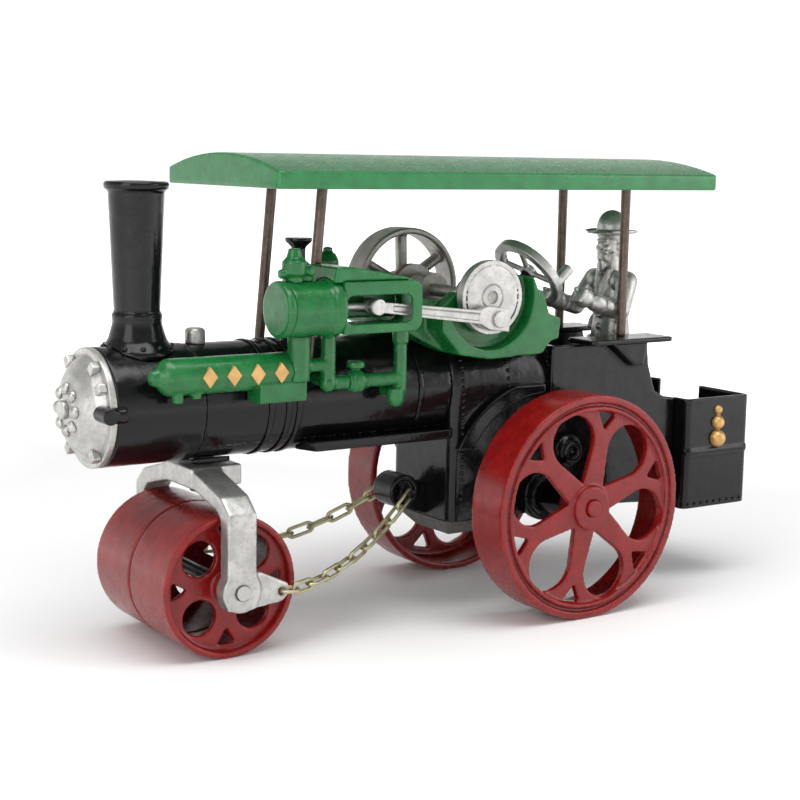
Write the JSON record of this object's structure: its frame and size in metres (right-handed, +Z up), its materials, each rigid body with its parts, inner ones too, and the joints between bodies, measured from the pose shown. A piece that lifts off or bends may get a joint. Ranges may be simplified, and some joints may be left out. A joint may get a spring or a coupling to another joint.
{
  "type": "toy_road_roller",
  "caption": "Cast metal toy steam road roller on spoked wheels, with a swivelling front roller fork, side engine, flywheel, steering wheel, driver and canopy.",
  "frame": {"origin": "on the floor, midway between the smokebox door nose and the tender back, on the centre plane", "axes": "+X runs to the tender end, -X to the front roller, -Y is the engine side, +Z is up"},
  "size_m": [0.233, 0.0872, 0.1372],
  "materials": {
    "enamel_red": "gloss enamel over a cast body",
    "enamel_green": "gloss enamel over a cast body",
    "flywheel_grey": "bare grey casting",
    "enamel_black": "gloss enamel over a cast body",
    "cast_silver": "bright cast metal with a satin skin",
    "dull_steel": "dull turned steel",
    "zinc_chain": "zinc plated wire",
    "gold_paint": "metallic gold paint",
    "belt_rubber": "matt rubber",
    "ash_grey": "bare casting with a mottled skin"
  },
  "bodies": {
    "chassis": {"ash_pan": "ash_grey", "axle_housings": "enamel_black", "boiler": "enamel_black", "boiler_bands": "enamel_black", "cab_floor": "enamel_black", "cab_seats": "enamel_black", "cab_sides": "enamel_black", "canopy": "enamel_green", "chain_far": "zinc_chain", "chain_near": "zinc_chain", "chain_spool": "enamel_black", "chimney": "enamel_black", "crosshead_guide": "enamel_green", "cylinder": "enamel_green", "cylinder_cover": "enamel_green", "cylinder_fittings": "enamel_green", "door_hinge": "enamel_black", "door_trim": "cast_silver", "drive_belt": "belt_rubber", "driver_body": "cast_silver", "driver_head": "cast_silver", "engine_bed": "enamel_green", "feed_heater": "enamel_green", "filler_plug": "cast_silver", "firebox": "enamel_black", "fork_pedestal": "enamel_black", "fork_pin": "dull_steel", "front_hoop": "dull_steel", "gear_guards": "enamel_black", "globe_valve": "enamel_green", "gold_trim": "gold_paint", "main_bearings": "flywheel_grey", "rear_hoop": "dull_steel", "rivets": "enamel_black", "safety_valve": "enamel_black", "side_ledges": "enamel_black", "smokebox": "enamel_black", "smokebox_door": "cast_silver", "steam_pipes": "enamel_green", "steam_turret": "enamel_green", "steering_column": "enamel_black", "tender": "enamel_black", "valve_chest": "enamel_green"},
    "rear_wheels": {"rear_axle": "enamel_red", "rear_wheel_near": "enamel_red", "rear_wheel_far": "enamel_red", "axle_pulley": "flywheel_grey"},
    "crank": {"crankshaft": "flywheel_grey", "crank_disc": "cast_silver", "flywheel": "flywheel_grey", "crank_pulley": "flywheel_grey"},
    "crosshead": {"crosshead": "cast_silver"},
    "rod": {"connecting_rod": "cast_silver", "crank_pin": "cast_silver"},
    "fork": {"fork": "cast_silver", "roller_axle": "enamel_black"},
    "roller_near": {"roller_near": "enamel_red"},
    "roller_far": {"roller_far": "enamel_red"},
    "steering_wheel": {"steering_wheel": "cast_silver"}
  },
  "joints": [
    {"name": "rear_axle_spin", "type": "hinge", "parent": "chassis", "child": "rear_wheels", "pos_m": [0.034, 0, 0.034], "axis": [0, 1, 0], "continuous": true},
    {"name": "crank_spin", "type": "hinge", "parent": "chassis", "child": "crank", "pos_m": [0.0076, 0, 0.0965], "axis": [0, 1, 0], "continuous": true},
    {"name": "crosshead_slide", "type": "slide", "parent": "chassis", "child": "crosshead", "axis": [1, 0, 0], "range_m": [-0.00598, 0.00602]},
    {"name": "rod_swing", "type": "hinge", "parent": "crosshead", "child": "rod", "pos_m": [-0.03481, -0.0278, 0.0956], "axis": [0, -1, 0], "range_deg": [-0.01, 16.26]},
    {"name": "fork_swivel", "type": "hinge", "parent": "chassis", "child": "fork", "pos_m": [-0.074, 0, 0.045], "axis": [0, 0, 1], "range_deg": [-20, 20], "deforming": ["chain_near", "chain_far"]},
    {"name": "roller_near_spin", "type": "hinge", "parent": "fork", "child": "roller_near", "pos_m": [-0.077, 0, 0.02], "axis": [0, 1, 0], "continuous": true},
    {"name": "roller_far_spin", "type": "hinge", "parent": "fork", "child": "roller_far", "pos_m": [-0.077, 0, 0.02], "axis": [0, 1, 0], "continuous": true},
    {"name": "steering_wheel_turn", "type": "hinge", "parent": "chassis", "child": "steering_wheel", "pos_m": [0.0355, -0.006, 0.102], "axis": [0.7547, 0, 0.6561], "range_deg": [-35, 35]}
  ],
  "couplings": [
    {"joint": "crank_spin", "follows": "rear_axle_spin", "ratio": 2.3333}
  ]
}
